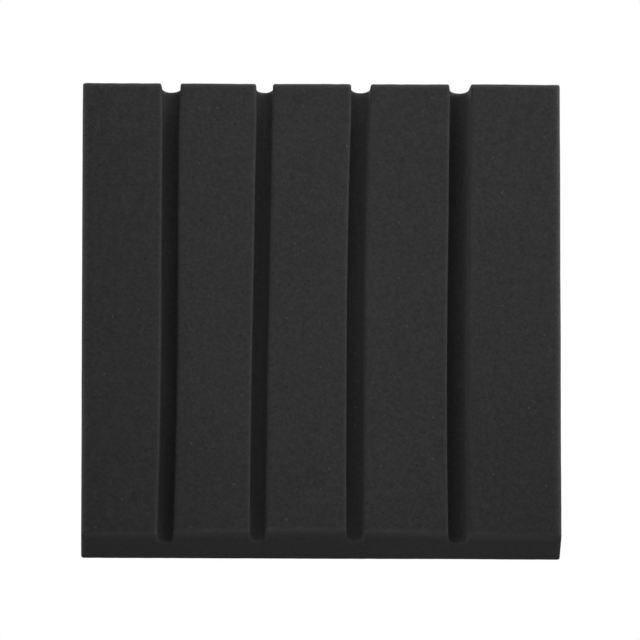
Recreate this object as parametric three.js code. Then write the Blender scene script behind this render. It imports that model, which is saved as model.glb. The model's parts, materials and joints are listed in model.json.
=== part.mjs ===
// Grooved acoustic foam panel, held to a wall by adhesive mounting tabs.
//
// Lengths are in millimetres. +Z is up, -Y is the grooved front that faces the
// room and +Y is the wall side. The origin is the middle of the wall side: the
// centre of the outer face of the middle tab's release liner.

import * as THREE from 'three';

// Foam block, a square cut from a slab of open-cell polyurethane: 12 x 12 x 2 inches
const panelWidth = 304.8;
const panelHeight = 304.8;
const panelThickness = 50.8;
const arrisRadius = 1.3; // an edge sawn along the panel relaxes into a small round
const endRadius = 1; // the two ends are cut crisper, so less than arrisRadius

// Grooves, parallel channels with round floors that run out through both ends
const grooveWidth = 11; // between the walls; the eased lips make the mouth wider
const grooveDepth = 19;
const grooveCentreShares = [0.181, 0.375, 0.576, 0.786]; // of the width, from the left edge

// Mounting tabs, squares of double-sided tape: one near each corner and one in the middle
const tabSide = 38;
const tabThickness = 1;
const tabCornerRadius = 2;
const tabEdgeMargin = 22; // bare foam between a corner tab and the panel's edges

// Release liners, a sheet of coated paper on each tab, with a lift tongue to peel it by
const linerThickness = 0.2;
const tongueReach = 8;
const tongueWidth = 18;
const tongueCornerRadius = 4;

// How finely curves are cut into flats
const arcSteps = 6;
const endRoundSteps = 2;

// Depths along Y, worked out from the wall side forwards
const linerFrontY = -linerThickness;
const foamBackY = linerFrontY - tabThickness;
const foamFrontY = foamBackY - panelThickness;

const foamMaterial = new THREE.MeshStandardMaterial({
  name: 'charcoal_foam', color: 0x36363a, roughness: 0.95, metalness: 0,
});
const tapeMaterial = new THREE.MeshStandardMaterial({
  name: 'foam_tape', color: 0xd9d6cd, roughness: 0.7, metalness: 0,
});
const linerMaterial = new THREE.MeshStandardMaterial({
  name: 'liner_paper', color: 0xe6dfc8, roughness: 0.45, metalness: 0,
});

// Adds a quarter turn to an outline, anticlockwise from the angle given. A straight
// run joins it to the turn before.
function addCorner(outline, centreX, centreY, radius, startAngle) {
  outline.absarc(centreX, centreY, radius, startAngle, startAngle + Math.PI / 2, false);
}

// Dips the front edge of the outline into one groove, from its left lip to its
// right lip: eased lip, straight wall, half-round floor, straight wall, eased lip.
function addGroove(outline, centreX) {
  const floorRadius = grooveWidth / 2;
  const floorCentreY = foamFrontY + grooveDepth - floorRadius;
  const lipCentreX = floorRadius + arrisRadius;
  const lipCentreY = foamFrontY + arrisRadius;
  addCorner(outline, centreX - lipCentreX, lipCentreY, arrisRadius, -Math.PI / 2);
  outline.absarc(centreX, floorCentreY, floorRadius, Math.PI, 0, true);
  addCorner(outline, centreX + lipCentreX, lipCentreY, arrisRadius, Math.PI);
}

// Outline of the foam across the panel, seen from above: a rectangle with eased
// corners whose front edge dips into each groove.
function foamOutline() {
  const cornerX = panelWidth / 2 - arrisRadius;
  const backY = foamBackY - arrisRadius;
  const frontY = foamFrontY + arrisRadius;
  const outline = new THREE.Shape();
  addCorner(outline, -cornerX, backY, arrisRadius, Math.PI / 2);
  addCorner(outline, -cornerX, frontY, arrisRadius, Math.PI);
  for (const share of grooveCentreShares) {
    addGroove(outline, panelWidth * (share - 0.5));
  }
  addCorner(outline, cornerX, frontY, arrisRadius, 1.5 * Math.PI);
  addCorner(outline, cornerX, backY, arrisRadius, 0);
  outline.closePath();
  return outline;
}

// The foam is that outline carried up the whole height, with its two ends rounded
// over inside the panel's height and width.
function foamPanel() {
  const geometry = new THREE.ExtrudeGeometry(foamOutline(), {
    depth: panelHeight - 2 * endRadius,
    curveSegments: arcSteps,
    bevelThickness: endRadius,
    bevelSize: endRadius,
    bevelOffset: -endRadius,
    bevelSegments: endRoundSteps,
  });
  geometry.translate(0, 0, endRadius - panelHeight / 2);
  const mesh = new THREE.Mesh(geometry, foamMaterial);
  mesh.name = 'foam_panel';
  return mesh;
}

// Square of tape with die-cut round corners, drawn around its own centre, from the
// bottom of its right side round to the top of it.
function tabOutline() {
  const inner = tabSide / 2 - tabCornerRadius;
  const outline = new THREE.Shape();
  addCorner(outline, inner, inner, tabCornerRadius, 0);
  addCorner(outline, -inner, inner, tabCornerRadius, Math.PI / 2);
  addCorner(outline, -inner, -inner, tabCornerRadius, Math.PI);
  addCorner(outline, inner, -inner, tabCornerRadius, 1.5 * Math.PI);
  return outline;
}

// The liner covers its tab and reaches past the right side of it in a tongue.
function linerOutline() {
  const half = tabSide / 2;
  const tongueCornerX = half + tongueReach - tongueCornerRadius;
  const tongueCornerY = tongueWidth / 2 - tongueCornerRadius;
  const outline = tabOutline();
  outline.lineTo(half, -tongueWidth / 2);
  addCorner(outline, tongueCornerX, -tongueCornerY, tongueCornerRadius, 1.5 * Math.PI);
  addCorner(outline, tongueCornerX, tongueCornerY, tongueCornerRadius, 0);
  outline.lineTo(half, tongueWidth / 2);
  return outline;
}

// A flat sheet that stands against the wall side: its outline is extruded to the
// thickness and turned so that the extrusion runs along Y, from frontY to the wall.
function wallSheet(name, outline, thickness, frontY, material) {
  outline.closePath();
  const geometry = new THREE.ExtrudeGeometry(outline, {
    depth: thickness,
    curveSegments: arcSteps,
    bevelEnabled: false,
  });
  geometry.rotateX(Math.PI / 2);
  geometry.translate(0, frontY + thickness, 0);
  const mesh = new THREE.Mesh(geometry, material);
  mesh.name = name;
  return mesh;
}

// One tab and its liner, centred on a place on the foam's back. The tongue points
// to +X when tongueSide is 1 and to -X when it is -1.
function tabWithLiner(place, x, z, tongueSide) {
  const station = new THREE.Group();
  station.add(
    wallSheet(`mounting_tab_${place}`, tabOutline(), tabThickness, foamBackY, tapeMaterial),
    wallSheet(`release_liner_${place}`, linerOutline(), linerThickness, linerFrontY, linerMaterial),
  );
  station.rotation.y = tongueSide > 0 ? 0 : Math.PI;
  station.position.set(x, 0, z);
  return station;
}

const acousticFoamPanel = new THREE.Group();
acousticFoamPanel.name = 'acoustic_foam_panel';
acousticFoamPanel.add(foamPanel());

const tabX = panelWidth / 2 - tabEdgeMargin - tabSide / 2;
const tabZ = panelHeight / 2 - tabEdgeMargin - tabSide / 2;
acousticFoamPanel.add(tabWithLiner('middle', 0, 0, 1));
for (const [row, z] of [['top', tabZ], ['bottom', -tabZ]]) {
  acousticFoamPanel.add(tabWithLiner(`${row}_left`, -tabX, z, 1));
  acousticFoamPanel.add(tabWithLiner(`${row}_right`, tabX, z, -1));
}

export default acousticFoamPanel;
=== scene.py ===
# %% [markdown]
# # A grooved acoustic foam panel
#
# The real object is a tile of charcoal foam, sawn from a slab and cut with four
# round-bottomed grooves. It is stuck to a wall by squares of double-sided tape.
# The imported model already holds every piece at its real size. This lesson leaves
# that frame alone and makes the looks: a finely divided skin for the foam, a
# procedural finish for each material, and a plain studio round them.

# %% Load the frame
import json
import math

import bpy
import numpy as np
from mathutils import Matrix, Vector


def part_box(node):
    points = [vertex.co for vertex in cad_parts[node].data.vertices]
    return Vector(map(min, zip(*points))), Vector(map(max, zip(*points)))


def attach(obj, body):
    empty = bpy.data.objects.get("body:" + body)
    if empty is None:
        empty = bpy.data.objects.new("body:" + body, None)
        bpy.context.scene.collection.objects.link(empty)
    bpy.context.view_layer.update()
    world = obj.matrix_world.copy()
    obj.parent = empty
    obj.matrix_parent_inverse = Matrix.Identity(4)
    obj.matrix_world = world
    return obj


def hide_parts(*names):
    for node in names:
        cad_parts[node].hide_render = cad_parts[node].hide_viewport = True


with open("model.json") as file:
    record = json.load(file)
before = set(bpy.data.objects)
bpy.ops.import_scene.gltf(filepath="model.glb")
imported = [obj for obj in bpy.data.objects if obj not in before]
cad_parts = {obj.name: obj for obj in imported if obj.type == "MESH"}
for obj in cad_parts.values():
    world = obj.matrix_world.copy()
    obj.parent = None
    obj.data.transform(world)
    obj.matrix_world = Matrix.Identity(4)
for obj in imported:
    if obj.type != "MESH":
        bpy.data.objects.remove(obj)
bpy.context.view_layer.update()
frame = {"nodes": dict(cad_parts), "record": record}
foam_low, foam_high = (np.array(corner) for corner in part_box("foam_panel"))
foam_size = foam_high - foam_low
foam_centre = (foam_low + foam_high) / 2
mm = 0.001
print("foam block, mm:", np.round(foam_size / mm, 1))

# %% [markdown]
# ## The camera
#
# The photograph looks up at the panel from a little below and almost straight on,
# so the grooved face fills the view and the bottom end shows as a thin band. Its
# uprights were made parallel, which a close lens does only with a large shift, and
# a shift would push the panel out of every other view. A plain lens far away keeps
# the sides parallel too. Its length follows from the width that the front face has
# in the photograph, so the distance can change and the panel keeps its size.

# %% Camera
picture_px = 640
front_width_px = 478
camera_distance = 15.0
camera_azimuth = math.radians(-0.7)
camera_elevation = math.radians(-19.3)
aim_right = -0.6 * mm
aim_up = 0.2 * mm


def direction_from(azimuth, elevation):
    """Unit vector towards the eye: azimuth turns about Z from -Y, elevation lifts it."""
    level = math.cos(elevation)
    return Vector((math.sin(azimuth) * level, -math.cos(azimuth) * level, math.sin(elevation)))


eye = direction_from(camera_azimuth, camera_elevation)
lens_data = bpy.data.cameras.new("camera")
width_share = front_width_px / picture_px
lens_data.lens = lens_data.sensor_width * width_share * camera_distance / foam_size[0]
camera = bpy.data.objects.new("camera", lens_data)
bpy.context.scene.collection.objects.link(camera)
aim = Vector(foam_centre) + Vector((aim_right, 0, aim_up))
camera.location = aim + eye * camera_distance
camera.rotation_mode = "QUATERNION"
camera.rotation_quaternion = (-eye).to_track_quat("-Z", "Y")
bpy.context.scene.camera = camera
bpy.context.scene.view_settings.view_transform = "Standard"
print("lens, mm:", round(lens_data.lens, 1))

# %% [markdown]
# ## Shader maths in plain Python
#
# A material is a web of nodes, and a long one is hard to read as calls. Here a
# small class wraps one socket and lets `+`, `-` and `*` add the Math nodes, so a
# pattern reads like a formula. A second class holds one material and has a single
# method that adds any other node.

# %% Signals
class Signal:
    """One output socket of a material. Arithmetic on it adds Math nodes."""

    def __init__(self, finish, socket):
        self.finish = finish
        self.socket = socket

    def combine(self, operation, first, second):
        settings = {"operation": operation}
        return self.finish.node("ShaderNodeMath", settings, {0: first, 1: second})

    def __add__(self, other):
        return self.combine("ADD", self, other)

    def __radd__(self, other):
        return self.combine("ADD", other, self)

    def __sub__(self, other):
        return self.combine("SUBTRACT", self, other)

    def __rsub__(self, other):
        return self.combine("SUBTRACT", other, self)

    def __mul__(self, other):
        return self.combine("MULTIPLY", self, other)

    def __rmul__(self, other):
        return self.combine("MULTIPLY", other, self)


print("a signal can be added, subtracted and multiplied")

# %% Finishes
class Finish:
    """One material or world: its node tree, and one way to add a node to it."""

    def __init__(self, owner):
        self.owner = owner
        owner.use_nodes = True
        self.tree = owner.node_tree
        self.tree.nodes.clear()

    def node(self, kind, settings=None, sockets=None, output=0):
        """Adds a node, with its settings and then its sockets' values or links.

        Gives one of its outputs as a signal."""
        made = self.tree.nodes.new(kind)
        for name, value in (settings or {}).items():
            setattr(made, name, value)
        for name, value in (sockets or {}).items():
            if isinstance(value, Signal):
                self.tree.links.new(value.socket, made.inputs[name])
            else:
                made.inputs[name].default_value = value
        return Signal(self, made.outputs[output]) if len(made.outputs) else None

    def ramp(self, value, low, high):
        """Smooth step: 0 below low, 1 above high, with an S-shaped rise between."""
        return self.node("ShaderNodeMapRange", {"interpolation_type": "SMOOTHSTEP"},
                         {"Value": value, "From Min": low, "From Max": high})

    def mix(self, factor, first, second):
        """Blends two colours by a factor."""
        return self.node("ShaderNodeMix", {"data_type": "RGBA"},
                         {0: factor, 6: first, 7: second}, output=2)

    def noise(self, place, size, detail):
        """Soft noise whose lumps are about as large as size."""
        return self.node("ShaderNodeTexNoise", None,
                         {"Vector": place, "Scale": 1 / size, "Detail": detail})

    def bump(self, strength, distance, height):
        """Turns a height pattern into a tilted normal."""
        return self.node("ShaderNodeBump", None,
                         {"Strength": strength, "Distance": distance, "Height": height})


def colour(red, green, blue):
    """A linear colour with full alpha."""
    return (red, green, blue, 1.0)


def grey(level):
    """A neutral linear grey."""
    return colour(level, level, level)


print("a finish can add nodes, ramps, mixes, noise and bumps")

# %% [markdown]
# ## The background
#
# The product stands out against plain white with no shadow. A white card behind it
# would do that for one view only. Here the world is white where it is seen and
# dimmer where it lights the foam, and a wide floor fades into that white with
# distance, which hides any horizon. The panel hangs on a wall and the camera looks
# up at it from five metres lower, so the floor lies well below both.

# %% World
white = colour(1, 1, 1)
seen_strength = 1.0
sky_strength = 0.34


def seen_rays(finish):
    """1 for rays that show the background: from the camera, a reflection or glass."""
    paths = [finish.node("ShaderNodeLightPath", output=name)
             for name in ("Is Camera Ray", "Is Glossy Ray", "Is Transmission Ray")]
    return finish.ramp(paths[0] + paths[1] + paths[2], 0.0, 1.0)


world = bpy.data.worlds.new("studio")
bpy.context.scene.world = world
sky = Finish(world)
sky_light = sky.node("ShaderNodeBackground", None, {
    "Color": white,
    "Strength": seen_rays(sky) * (seen_strength - sky_strength) + sky_strength})
sky.node("ShaderNodeOutputWorld", None, {"Surface": sky_light})
print("world lights the foam at", sky_strength)

# %% Floor
floor_drop = 5.4
floor_radius = 22.0
floor_corners = 96
floor_level = 0.35
fade_start = 2.0
fade_end = 7.0
near_share = 0.8


def floor_finish():
    """Pale matte floor. Seen rays get a share of plain white, all of it past fade_end."""
    floor = Finish(bpy.data.materials.new("studio_floor"))
    place = floor.node("ShaderNodeTexCoord", output="Object")
    reach = floor.node("ShaderNodeVectorMath", {"operation": "LENGTH"}, {0: place},
                       output="Value")
    far = floor.ramp(reach, fade_start, fade_end)
    matte = floor.node("ShaderNodeBsdfDiffuse", None, {"Color": grey(floor_level)})
    plain = floor.node("ShaderNodeEmission", None, {"Color": white, "Strength": seen_strength})
    share = seen_rays(floor) * (far * (1 - near_share) + near_share)
    blend = floor.node("ShaderNodeMixShader", None, {0: share, 1: matte, 2: plain})
    floor.node("ShaderNodeOutputMaterial", None, {"Surface": blend})
    return floor.owner


bpy.ops.mesh.primitive_circle_add(vertices=floor_corners, radius=floor_radius, fill_type="NGON")
studio_floor = bpy.context.object
studio_floor.name = "studio_floor"
studio_floor.location.z = -floor_drop
studio_floor.data.materials.append(floor_finish())
print("floor at", studio_floor.location.z)

# %% [markdown]
# ## The lamps
#
# Foam this dark shows little but the slant of the light. In the photograph the top
# right of the face is the brightest part and the lower left the darkest, the groove
# floors are deep in shade, and light falls into the open upper ends of the grooves.
# One lamp in front would light those floors too. Instead the strong lamps stand at
# the right and the left and graze the face, so they reach the rims but no floor. One
# above shines down along the grooves, one below lights the bottom end, and two weak
# ones in front fill the middle. Each is a rectangle, because a wide source gives soft
# shade. The last lamp stands behind and only lights the back.

# %% Lamps
def soft_box(name, place, width, height, power):
    """A rectangular lamp at a place, turned to face the middle of the panel."""
    lamp = bpy.data.lights.new(name, "AREA")
    lamp.shape = "RECTANGLE"
    lamp.size = width
    lamp.size_y = height
    lamp.energy = power
    holder = bpy.data.objects.new(name, lamp)
    bpy.context.scene.collection.objects.link(holder)
    holder.visible_camera = False
    holder.location = place
    towards = Vector(foam_centre) - Vector(place)
    holder.rotation_mode = "QUATERNION"
    holder.rotation_quaternion = towards.to_track_quat("-Z", "Y")


# Name, place, width and height in metres, power in watts
lamp_plan = [
    ("right_lamp", (0.6, -0.11, 0.21), 0.3, 0.32, 6.8),
    ("left_lamp", (-0.6, -0.01, 0.07), 0.1, 0.42, 3.1),
    ("upper_lamp", (-0.08, -0.36, 0.25), 0.35, 0.3, 0.35),
    ("front_lamp", (-0.01, -0.3, -0.06), 0.25, 0.3, 0.38),
    ("top_lamp", (0.08, -0.13, 0.55), 0.5, 0.2, 3.0),
    ("low_lamp", (0.05, -0.13, -0.46), 0.25, 0.2, 0.34),
    ("back_lamp", (-0.9, 1.5, 0.9), 1.2, 0.9, 24),
]
for name, place, width, height, power in lamp_plan:
    soft_box(name, place, width, height, power)

# %% [markdown]
# ## A solid made of cells
#
# The foam block, and later the paper liners, are thin or grooved blocks. Each could
# be cut from a cube with booleans, but that gives long thin faces that can't be
# rounded, warped or roughened. Instead a piece is a box of small cells: three rows
# of numbers give the cells' corners, any formula may move those corners, and cells
# can be left empty, as in a groove. The skin is every face between a filled cell
# and an empty one, so it is always closed and always faces outwards.

# %% Graded rows
gap_growth = 1.5


def graded(start, end, first, step, ease_start, ease_end):
    """Places from start to end, with small gaps at an eased end.

    The gaps there are first, first * gap_growth, first * gap_growth ** 2 and so on up to
    step, and the gaps between are even."""
    count = math.ceil(math.log(step / first) / math.log(gap_growth))
    rise = first * gap_growth ** np.arange(count)
    head = rise if ease_start else rise[:0]
    tail = rise[::-1] if ease_end else rise[:0]
    middle = end - start - head.sum() - tail.sum()
    parts = max(round(middle / step), 1)
    gaps = np.concatenate([head, np.full(parts, middle / parts), tail])
    return start + np.concatenate([[0.0], np.cumsum(gaps)])


print("graded from 0 to 10:", np.round(graded(0, 10, 0.5, 2, True, True), 2))

# %% Skin of a box of cells
def skin(corners, filled):
    """Numbers of the corners in use, and quads of them.

    A cell's face is kept where the next cell is empty."""
    number = np.arange(corners[..., 0].size).reshape(corners.shape[:3])
    room = np.pad(filled, 1)
    quads = []
    for axis in range(3):
        across, along = (axis + 1) % 3, (axis + 2) % 3
        for side in (0, 1):
            beyond = np.roll(room, 1 - 2 * side, axis)[1:-1, 1:-1, 1:-1]
            cells = np.argwhere(filled & ~beyond)
            turns = np.zeros((4, 3), int)
            turns[:, axis] = side
            turns[:, across] = (0, 1, 1, 0)
            turns[:, along] = (0, 0, 1, 1)
            index = cells[:, None, :] + (turns if side else turns[::-1])
            quads.append(number[tuple(np.moveaxis(index, -1, 0))])
    used, faces = np.unique(np.concatenate(quads), return_inverse=True)
    return used, faces.reshape(-1, 4)


def piece(name, points, faces, material):
    """A mesh object at the origin, smooth, with one material."""
    mesh = bpy.data.meshes.new(name)
    mesh.from_pydata(points, [], faces)
    mesh.shade_smooth()
    mesh.materials.append(material)
    made = bpy.data.objects.new(name, mesh)
    bpy.context.scene.collection.objects.link(made)
    print(name, len(points), "points", len(faces), "quads")
    return made


one_cell = skin(np.zeros((2, 2, 2, 3)), np.ones((1, 1, 1), bool))
print("one cell:", len(one_cell[0]), "corners", len(one_cell[1]), "quads")

# %% [markdown]
# ## The grooved block
#
# The four grooves are seen end on at the top of the photograph: straight walls that
# run into a deep round floor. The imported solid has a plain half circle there, and
# here the floor is half an ellipse of the same width and the same full depth. The
# columns of cells are spaced evenly by angle over each groove and bunched up near
# each lip, where the foam rounds over. The groove centres come from the openings in
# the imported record, so this skin and the solid that it stands for agree.

# %% Rows and columns of the foam
groove_width = 11 * mm
groove_depth = 19 * mm
half_groove = groove_width / 2
floor_rise = 9 * mm
wall_depth = groove_depth - floor_rise
first_gap = 0.25 * mm
cell_gap = 2.1 * mm
floor_steps = 12
openings = frame["record"]["physics"]["openings"]
groove_centres = np.array([np.mean(np.array(hole["box_m"])[:, 0]) for hole in openings])

strip_starts = np.append(foam_low[0], groove_centres + half_groove)
strip_ends = np.append(groove_centres - half_groove, foam_high[0])
turn = np.linspace(math.pi, 0, floor_steps + 1)[1:-1]
columns = []
for number, (start, end) in enumerate(zip(strip_starts, strip_ends)):
    columns.append(graded(start, end, first_gap, cell_gap, True, True))
    if number < len(groove_centres):
        columns.append(groove_centres[number] + half_groove * np.cos(turn))
across = np.concatenate(columns)
front_rows = graded(0, wall_depth, first_gap, cell_gap, True, False)
back_rows = graded(wall_depth, foam_size[1], first_gap, cell_gap, False, True)
rows = np.append(front_rows, back_rows[1:])
up = graded(foam_low[2], foam_high[2], first_gap, cell_gap, True, True)
print("cells:", across.size - 1, "x", rows.size - 1, "x", up.size - 1)

# %% Corners of the foam's cells
# The first row behind a floor follows its ellipse, wall_depth + floor_rise *
# sqrt(1 - (offset / half_groove) ** 2), and the rows after it close up to the back
offset = across[:, None] - groove_centres[None, :]
nearest = np.abs(offset).argmin(axis=1)
offset = offset[np.arange(across.size), nearest]
over_groove = np.abs(offset) < half_groove - first_gap / 2
floor_curve = floor_rise * np.sqrt(np.clip(1 - (offset / half_groove) ** 2, 0, None))
start_depth = wall_depth + np.where(over_groove, floor_curve, 0)
share_below = np.clip((rows - wall_depth) / (foam_size[1] - wall_depth), 0, None)
depth = start_depth[:, None] + (foam_size[1] - start_depth)[:, None] * share_below
depth = np.where(rows < wall_depth - first_gap / 2, rows, depth)

corners = np.zeros((across.size, rows.size, up.size, 3))
corners[..., 0] = across[:, None, None]
corners[..., 1] = foam_low[1] + depth[:, :, None]
corners[..., 2] = up

column_open = over_groove[:-1] | over_groove[1:]
row_open = rows[1:] <= wall_depth + first_gap / 2
filled = np.ones(np.array(corners.shape[:3]) - 1, bool)
filled[column_open[:, None] & row_open[None, :]] = False
used, foam_faces = skin(corners, filled)
foam_points = corners.reshape(-1, 3)[used]
print("open cells:", int((~filled).sum()))

# %% [markdown]
# ## Eased arrises
#
# A blade leaves foam with soft arrises: each edge is a round of a millimetre or
# two, and the faces start to fall away a little before it. A bevel would need clean
# edge loops at the groove ends. Instead every point knows how far inside each face
# it lies. Close to two faces at once, it is drawn in from their corner on to a
# round, which is the square-to-circle map in two or three directions.

# %% Nearness to the faces
side, front, back, groove, end = range(5)


def nearness(points, reach):
    """How near each point is to five kinds of face, and the unit way out through each.

    The faces are the sides, the front, the back, the grooves and the two ends. At a
    distance d inside a face, nearness is 1 - d / reach, held between 0 and 1. A groove's
    wall counts straight across, and its floor as if the ellipse were squeezed to a circle."""
    half = foam_size / 2
    local = points - foam_centre
    behind = points[:, 1] - foam_low[1]
    gap = points[:, None, 0] - groove_centres
    pick = np.abs(gap).argmin(axis=1)
    sideways = gap[np.arange(len(points)), pick]
    squeeze = half_groove / floor_rise
    below = np.clip(behind - wall_depth, 0, None) * squeeze
    from_axis = np.hypot(sideways, below)
    steepness = np.maximum(np.hypot(sideways, below * squeeze), first_gap)
    inside = np.stack([half[0] - np.abs(local[:, 0]), behind, foam_size[1] - behind,
                       from_axis - half_groove, half[2] - np.abs(local[:, 2])])
    near = np.clip(1 - inside / np.array(reach)[:, None], 0, 1)
    ways = np.zeros((5, len(points), 3))
    ways[side, :, 0] = np.sign(local[:, 0])
    ways[front, :, 1] = -1
    ways[back, :, 1] = 1
    ways[groove, :, 0] = -sideways / steepness
    ways[groove, :, 1] = -below * squeeze / steepness
    ways[end, :, 2] = np.sign(local[:, 2])
    return near, ways


on_face, _ = nearness(foam_points, np.full(5, first_gap))
print("points on sides, front, back, grooves, ends:", (on_face > 0.99).sum(axis=1))

# %% Ease the edges
arris_radii = np.array([1.6, 1.6, 1.6, 1.6, 1.8]) * mm
fall_reach = np.array([7, 12, 7, 3, 6]) * mm
fall_drop = 0.9 * mm
front_fall_share = 0.4
tiny = 1e-9


def eased(points):
    """Rounds the arrises: each face moves a point by radius * n * (max(n) / |n| - 1).

    n holds the point's nearness to every kind of face. Near one face only, the point
    stays. In the square corner of two or three faces, it is drawn in on to the round."""
    near, ways = nearness(points, arris_radii)
    length = np.sqrt((near ** 2).sum(axis=0))
    shrink = np.where(length > 0, near.max(axis=0) / np.maximum(length, tiny), 1) - 1
    return points + (ways * (arris_radii[:, None] * near * shrink)[:, :, None]).sum(axis=0)


def fallen(points):
    """Lets the front and the ends fall away before their arrises.

    The front drops by fall_drop * front_fall_share * n_front * max(n_side, n_end) ** 2,
    and an end by fall_drop * n_end * n_front ** 2."""
    near, ways = nearness(points, fall_reach)
    drop = np.zeros((5, len(points)))
    towards_edge = np.maximum(near[side], near[end])
    drop[front] = fall_drop * front_fall_share * towards_edge ** 2 * near[front]
    drop[end] = fall_drop * near[front] ** 2 * near[end]
    return points - (ways * drop[:, :, None]).sum(axis=0)


square_points = foam_points
foam_points = fallen(eased(square_points))
eased_by = np.linalg.norm(foam_points - square_points, axis=1).max()
print("largest easing, mm:", round(float(eased_by / mm), 2))

# %% [markdown]
# ## Pale arrises with a painted highlight
#
# Along each edge the foam's struts stand up and fray, which makes it a little paler, and
# a painted highlight is added there for the light that the round arrises catch. It reaches
# furthest back from the front edges. The finish can't tell where the edges are, so each
# point carries a number for it: how near it is to the two faces of an edge, times a weight
# for that kind of edge. The Bevel node could find edges too, but it costs many rays and
# doesn't export.

# %% Pale fray and painted highlight of the arrises
# Pale fray plus a painted highlight along the arrises: reach of each kind of face, then pairs
# of faces and their weights
fray_and_highlight_reach = np.array([5, 14, 6, 2.5, 4.8]) * mm
fray_and_highlight_pairs = [(side, front, 0.92), (side, end, 0.8), (side, back, 0.6), (front, end, 1.0),
              (groove, end, 0.9), (back, end, 0.6), (groove, front, 0.1)]
fray_and_highlight_near, _ = nearness(square_points, fray_and_highlight_reach)
fray_and_highlight = np.max([weight * np.minimum(fray_and_highlight_near[first], fray_and_highlight_near[second])
                     for first, second, weight in fray_and_highlight_pairs], axis=0)
print("points on an arris:", int((fray_and_highlight > 0.5).sum()))

# %% [markdown]
# ## Cut by hand
#
# No groove in the photograph is quite upright or straight, some lips slope more
# than others, the mouths flare at the top end, and the lower front edge bows up in
# the middle and droops at its corners. Foam gives as the blade passes, so a real
# tile has this drift, and a perfect one looks like plastic. It could be sculpted,
# but then no number says how much. Here the drift is a smooth warp of all the
# points, by lengths measured against the photograph: each groove leans, bows and
# twists over its height, and every shift fades out between the grooves.

# %% Measured drift
# One number for each groove: how far its upper end stands to the right of its lower
# end, how far its middle bows, and how far it twists into an S
groove_leans = np.array([3.7, 4.1, 4.2, 1.4]) * mm
groove_bows = np.array([0.8, -0.2, -1.5, -1.1]) * mm
groove_twists = np.array([1.5, -0.7, 0.9, -1.0]) * mm
# Left and right wall of each groove, at the front and where the floor starts
mouth_shifts = np.array([[-0.4, -0.8], [0.1, -0.8], [0.0, 0.4], [-0.5, 2.1]]) * mm
foot_shifts = np.array([[0.3, -0.5], [0.3, -0.7], [0.2, -0.2], [-0.1, 0.7]]) * mm
end_flares = np.array([1.6, 0.4, 1.2, 0.3]) * mm
flare_height = 30 * mm
flare_shares = (0, -0.5, 0.5, 0)
lean_margin = 8 * mm
lip_margin = 12 * mm
bow_middle = 1.4 * mm
bow_fall = 4.4 * mm
bow_power = 1.15
bow_height = 45 * mm


def smooth(value, low, high):
    """Smooth step from 0 at low to 1 at high."""
    share = np.clip((value - low) / (high - low), 0, 1)
    return share * share * (3 - 2 * share)


def near_grooves(run, amounts, reaches):
    """Spreads a value for each groove or lip over the width, to 0 at the panel's sides."""
    places = (groove_centres - foam_centre[0])[:, None] + np.array(reaches)
    stops = np.concatenate([[-foam_size[0] / 2], places.ravel(), [foam_size[0] / 2]])
    return np.interp(run, stops, np.concatenate([[0], amounts.ravel(), [0]]))


print("leans, mm:", groove_leans / mm)

# %% Drift
def drifted(points):
    """Moves the grooves and the lower front edge, with r the height from -1 to 1.

    x becomes x + lean r / 2 + bow (1 - r ** 2) + twist (r ** 3 - r) + slope + flare, and
    z becomes z + (bow_middle - bow_fall |2 x / width| ** bow_power) * low * forward."""
    local = points - foam_centre
    run = local[:, 0]
    rise = 2 * local[:, 2] / foam_size[2]
    behind = points[:, 1] - foam_low[1]

    both = (-lean_margin, lean_margin)
    lean = near_grooves(run, np.repeat(groove_leans, 2), both)
    bow = near_grooves(run, np.repeat(groove_bows, 2), both)
    twist = near_grooves(run, np.repeat(groove_twists, 2), both)
    walls = (-lip_margin, -half_groove, half_groove, lip_margin)
    mouth = near_grooves(run, np.pad(mouth_shifts, ((0, 0), (1, 1))), walls)
    foot = near_grooves(run, np.pad(foot_shifts, ((0, 0), (1, 1))), walls)
    slope = foot + (mouth - foot) * np.clip(1 - behind / wall_depth, 0, 1)
    flare = near_grooves(run, np.outer(end_flares, flare_shares), walls)
    flare *= smooth(points[:, 2], foam_high[2] - flare_height, foam_high[2])

    crown = bow_middle - bow_fall * np.abs(2 * run / foam_size[0]) ** bow_power
    low = 1 - smooth(points[:, 2], foam_low[2], foam_low[2] + bow_height)
    forward = 1 - behind / foam_size[1]
    moved = points.copy()
    moved[:, 0] += lean * rise / 2 + bow * (1 - rise ** 2) + twist * (rise ** 3 - rise)
    moved[:, 0] += slope + flare
    moved[:, 2] += crown * low * forward
    return moved


smooth_points = drifted(foam_points)
drift = np.linalg.norm(smooth_points - foam_points, axis=1).max()
print("largest drift, mm:", round(float(drift / mm), 2))

# %% [markdown]
# ## Ripple
#
# A sawn face is never quite flat either: it has a slow ripple from the blade and a
# finer unevenness from the foam. A Displace modifier would need an image or a
# texture. A sum of a few waves in seeded directions gives the same surface on every
# run, and it fades out towards the back, which lies flat on the tape. The panel's
# outline is straight in the photograph, so the ripple runs mostly in and out of the
# front, and little of it runs across the panel or up it.

# %% Ripple the foam
wave_count = 12
# Wavelength, height and seed of each ripple
ripple_plan = [(90 * mm, 0.22 * mm, 3), (9 * mm, 0.08 * mm, 5), (5.5 * mm, 0.05 * mm, 8)]
# Shares of a ripple that are kept across the panel, in and out of it, and up it
ripple_shares = np.array([0.3, 1, 0.3])
calm_depth = 6 * mm


def ripple(points, wavelength, height, seed):
    """A sum of wave_count waves: height * push * sin(2 pi way . p / wavelength + phase)."""
    random = np.random.default_rng(seed)
    waves = random.normal(size=(3, wave_count))
    waves *= math.tau / wavelength / np.linalg.norm(waves, axis=0)
    phases = random.uniform(0, math.tau, wave_count)
    pushes = random.normal(size=(wave_count, 3)) / math.sqrt(wave_count)
    return height * np.sin(points @ waves + phases) @ pushes


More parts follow.
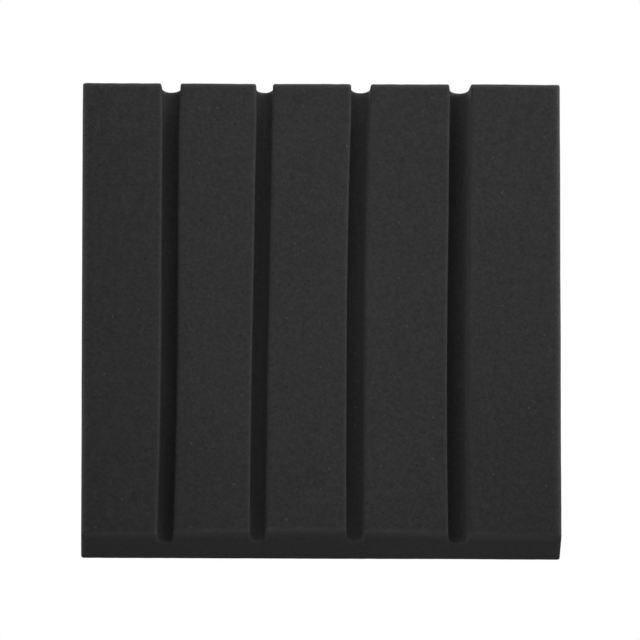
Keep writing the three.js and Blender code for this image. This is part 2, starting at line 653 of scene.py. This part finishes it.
rough = sum(ripple(foam_points, *plan) for plan in ripple_plan) * ripple_shares
rough[:, 1] *= smooth(foam_high[1] - foam_points[:, 1], 0, calm_depth)
foam_points = smooth_points + rough
foam_points[:, 1] = np.minimum(foam_points[:, 1], foam_high[1])
print("largest ripple, mm:", round(float(np.abs(rough).max() / mm), 2))

# %% [markdown]
# ## The foam's finish
#
# Open-cell foam is a maze of thin struts with no skin. Light goes in and few rays
# come back, so it is very dark, without gloss, and finely pitted. Each pit is a
# cell of a Voronoi pattern under a millimetre across: its middle is a dark pore
# and its border a lighter strut. The pattern drives both the colour and a bump.
# Real pits would take millions of faces and would be smaller than a pixel here.
# Softer noise mottles the face, a few cut cells get pale specks of painted glint, a
# few are torn out and dark, and the arrises are a little paler from fraying and carry a
# painted highlight.

# %% Sizes and shares of the foam's pattern
cell_size = 0.6 * mm
grain_size = 0.3 * mm
mottle_size = 2.2 * mm
patch_size = 7 * mm
cloud_size = 60 * mm
fleck_spacing = 5.5 * mm

pore_grey = 0.018
strut_grey = 0.052
# Painted glint: the grey of specks where cut cells would catch the light
glint_grey = strut_grey * 1.35

strut_share = 0.15
grain_share = 0.12
mottle_share = 0.37
patch_share = 0.06
cloud_share = 0.06
# Share of the arrises' pale fray and painted highlight in the foam's lightness
fray_and_highlight_share = 0.62
pit_share = 0.5
strut_height = 0.6
grain_height = 0.4
grain_gloss = 0.12

# Where a smooth step starts and ends: over a cell, over a speck, and over the random
# tints that choose which specks get a painted glint and which are pits
strut_band = (0.2, 0.75)
spot_band = (0.05, 0.14)
glint_band = (0.6, 1.0)
pit_band = (0.1, 0.5)
print("foam greys:", pore_grey, strut_grey, round(glint_grey, 3))

# %% Foam finish
def foam_specks(foam, place):
    """Painted glints and dark pits: a small disc in some cells of a wide Voronoi pattern."""
    spots = {"Vector": place, "Scale": 1 / fleck_spacing}
    distance = foam.node("ShaderNodeTexVoronoi", None, spots)
    near_spot = 1 - foam.ramp(distance, *spot_band)
    tint = foam.node("ShaderNodeTexVoronoi", None, spots, output="Color")
    pick = foam.node("ShaderNodeSeparateColor", None, {"Color": tint})
    glint = near_spot * foam.ramp(pick, *glint_band)
    pit = near_spot * (1 - foam.ramp(pick, *pit_band))
    return glint, pit


def foam_finish():
    """Charcoal open-cell foam in Object coordinates."""
    foam = Finish(bpy.data.materials.new("charcoal_foam_finish"))
    place = foam.node("ShaderNodeTexCoord", output="Object")
    grain = foam.noise(place, grain_size, detail=2.0)
    mottle = foam.noise(place, mottle_size, detail=1.0)
    patch = foam.noise(place, patch_size, detail=1.0)
    cloud = foam.noise(place, cloud_size, detail=1.0)
    cell = foam.node("ShaderNodeTexVoronoi", None, {"Vector": place, "Scale": 1 / cell_size})
    strut = foam.ramp(cell, *strut_band)
    # The arris attribute holds the pale fray and the painted highlight along the edges
    arris = foam.node("ShaderNodeAttribute", {"attribute_name": "arris"}, output="Fac")
    glint, pit = foam_specks(foam, place)

    # Lightness of the foam's colour, with the arrises' painted highlight in it
    light = (strut * strut_share + grain * grain_share + mottle * mottle_share
             + patch * patch_share + cloud * cloud_share
             + arris * arris * fray_and_highlight_share - pit * pit_share)
    shade = foam.mix(foam.ramp(light, 0.0, 1.0), grey(pore_grey), grey(strut_grey))
    # Paints the glints in
    tone = foam.mix(glint, shade, grey(glint_grey))
    relief = strut * strut_height + grain * grain_height
    bump = foam.bump(strength=0.5, distance=0.2 * mm, height=relief)
    shader = foam.node("ShaderNodeBsdfPrincipled", None, {
        "Base Color": tone, "Roughness": 1 - grain_gloss * grain, "Specular IOR Level": 0.06,
        "Diffuse Roughness": 0.6, "Normal": bump})
    foam.node("ShaderNodeOutputMaterial", None, {"Surface": shader})
    return foam.owner


charcoal = foam_finish()
print("foam finish nodes:", len(charcoal.node_tree.nodes))

# %% Foam piece
foam = piece("foam_block", foam_points, foam_faces, charcoal)
# Stores each point's pale fray and painted highlight as the arris attribute
fray_and_highlight_attribute = foam.data.attributes.new("arris", "FLOAT", "POINT")
fray_and_highlight_attribute.data.foreach_set("value", fray_and_highlight.astype(np.float32))
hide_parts("foam_panel")
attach(foam, "root")

# %% [markdown]
# ## Tape on the back
#
# Five squares of double-sided tape hold the tile to a wall. A die cuts them clean,
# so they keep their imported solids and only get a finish: pale closed-cell tape,
# dull and faintly dimpled.

# %% Tape finish
dimple_size = 0.5 * mm
tape_cloud_size = 9 * mm
tape_roughness = 0.6
dimple_roughness = 0.25
tape_dark = colour(0.56, 0.54, 0.49)
tape_light = colour(0.72, 0.7, 0.65)


def tape_finish():
    """Pale double-sided tape: fine dimples and a faint unevenness of tone."""
    tape = Finish(bpy.data.materials.new("foam_tape_finish"))
    place = tape.node("ShaderNodeTexCoord", output="Object")
    cells = {"Vector": place, "Scale": 1 / dimple_size}
    dimples = tape.node("ShaderNodeTexVoronoi", None, cells)
    shade = tape.mix(tape.noise(place, tape_cloud_size, detail=3.0), tape_dark, tape_light)
    bump = tape.bump(strength=0.3, distance=0.1 * mm, height=dimples)
    shader = tape.node("ShaderNodeBsdfPrincipled", None, {
        "Base Color": shade, "Roughness": tape_roughness + dimple_roughness * dimples,
        "Specular IOR Level": 0.3, "Normal": bump})
    tape.node("ShaderNodeOutputMaterial", None, {"Surface": shader})
    return tape.owner


tape = tape_finish()
tab_names = sorted(name for name in frame["nodes"] if name.startswith("mounting_tab"))
for name in tab_names:
    slots = frame["nodes"][name].data.materials
    slots.clear()
    slots.append(tape)
print("tape on", tab_names)

# %% [markdown]
# ## Paper liners
#
# A sheet of coated paper covers each square until the tile goes up. It is flat in
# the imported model, but the free tongue by which it is peeled springs away from the
# foam on a real one. The sheet could be bent by a modifier, whose effect depends on
# its helper objects. Here the liner is made again as a block one cell thick, whose
# tongue curls by a formula. Its outline is one height for each place along it: a
# square with round corners, a small fillet, and the tongue.

# %% Liner finish
paper_cloud_size = 6 * mm
fibre_size = 0.5 * mm
fibre_stretch = 0.2
cloud_share_of_paper = 0.6
fibre_share_of_paper = 0.4
paper_band = (0.3, 0.7)
paper_roughness = 0.36
cloud_roughness = 0.2
paper_dark = colour(0.66, 0.6, 0.47)
paper_light = colour(0.78, 0.73, 0.6)


def liner_finish():
    """Coated release paper: warm off-white, satin, with soft clouds and a trace of fibre."""
    paper = Finish(bpy.data.materials.new("liner_paper_finish"))
    place = paper.node("ShaderNodeTexCoord", output="Object")
    cloud = paper.noise(place, paper_cloud_size, detail=4.0)
    squeeze = {"Vector": place, "Scale": (1, 1, fibre_stretch)}
    stretched = paper.node("ShaderNodeMapping", None, squeeze)
    fibre = paper.noise(stretched, fibre_size, detail=2.0)
    tone = paper.ramp(cloud * cloud_share_of_paper + fibre * fibre_share_of_paper, *paper_band)
    shade = paper.mix(tone, paper_dark, paper_light)
    bump = paper.bump(strength=0.15, distance=0.05 * mm, height=fibre)
    shader = paper.node("ShaderNodeBsdfPrincipled", None, {
        "Base Color": shade, "Roughness": paper_roughness + cloud_roughness * cloud,
        "Specular IOR Level": 0.45, "Normal": bump})
    paper.node("ShaderNodeOutputMaterial", None, {"Surface": shader})
    return paper.owner


liner_paper = liner_finish()
print("liner finish nodes:", len(liner_paper.node_tree.nodes))

# %% Outline of a liner
die_radius = 2 * mm
tongue_radius = 4 * mm
tongue_width = 18 * mm
fillet = 0.4 * mm


def arc_in(share, radius):
    """How far a round corner is drawn in: radius * (1 - sqrt(1 - share ** 2)).

    The share is 0 at the tangent point and 1 at the tip."""
    return radius * (1 - np.sqrt(np.clip(1 - share ** 2, 0, 1)))


def liner_half_height(run, half, tip):
    """Half the liner's height along it: round-cornered square, fillet, then tongue."""
    left = np.clip((-half + die_radius - run) / die_radius, 0, 1)
    right = np.clip((run - half + die_radius) / die_radius, 0, 1)
    square = half - arc_in(left, die_radius) - arc_in(right, die_radius)
    end = np.clip((run - tip + tongue_radius) / tongue_radius, 0, 1)
    tongue = tongue_width / 2 - arc_in(end, tongue_radius)
    blend = smooth(run, half, half + fillet)
    return np.where(run <= half, square, square * (1 - blend) + tongue * blend)


print("half a tongue, mm:", tongue_width / 2 / mm)

# %% Places along a liner
corner_stops = 6
square_stops = 12
fillet_stops = 4
tongue_stops = 6
tip_stops = 7


def liner_run(half, tip):
    """Places along a liner, from its plain edge to the tongue's tip, closest on the arcs."""
    corner = np.linspace(0, math.pi / 2, corner_stops)
    last = np.linspace(0, math.pi / 2, tip_stops)
    return np.concatenate([
        -half + die_radius * (1 - np.cos(corner)),
        np.linspace(-half + die_radius, half - die_radius, square_stops)[1:-1],
        half - die_radius * (1 - np.sin(corner)),
        np.linspace(half, half + fillet, fillet_stops)[1:],
        np.linspace(half + fillet, tip - tongue_radius, tongue_stops)[1:-1],
        tip - tongue_radius * (1 - np.sin(last))])


print("stops along a liner:", liner_run(19 * mm, 27 * mm).size)

# %% Liner pieces
curl_height = 1.1 * mm
liner_rows = 12


def liner(name, place):
    """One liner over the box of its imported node, its tongue on the side that is free.

    The tongue lifts by curl_height * smooth(run), which starts just inside the tape's
    edge and is still rising at the tip."""
    low, high = (np.array(corner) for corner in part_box(f"release_liner_{place}"))
    tab_low, tab_high = (np.array(corner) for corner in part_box(f"mounting_tab_{place}"))
    half = (tab_high[0] - tab_low[0]) / 2
    middle = (tab_low + tab_high) / 2
    side = 1 if high[0] - tab_high[0] > tab_low[0] - low[0] else -1
    tip = high[0] - middle[0] if side > 0 else middle[0] - low[0]
    run = liner_run(half, tip)
    height = liner_half_height(run, half, tip)
    lift = curl_height * smooth(run, half - fillet, 2 * tip - half)
    order = np.argsort(side * run)
    across = np.linspace(-1, 1, liner_rows + 1)
    corners = np.zeros((run.size, 2, across.size, 3))
    corners[..., 0] = middle[0] + side * run[order, None, None]
    corners[..., 1] = np.array([low[1], high[1]])[None, :, None] + lift[order, None, None]
    corners[..., 2] = middle[2] + height[order, None, None] * across
    used, faces = skin(corners, np.ones(np.array(corners.shape[:3]) - 1, bool))
    made = piece(name, corners.reshape(-1, 3)[used], faces, liner_paper)
    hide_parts(f"release_liner_{place}")
    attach(made, "root")


for name in tab_names:
    corner_name = name.removeprefix("mounting_tab_")
    liner(f"paper_liner_{corner_name}", corner_name)
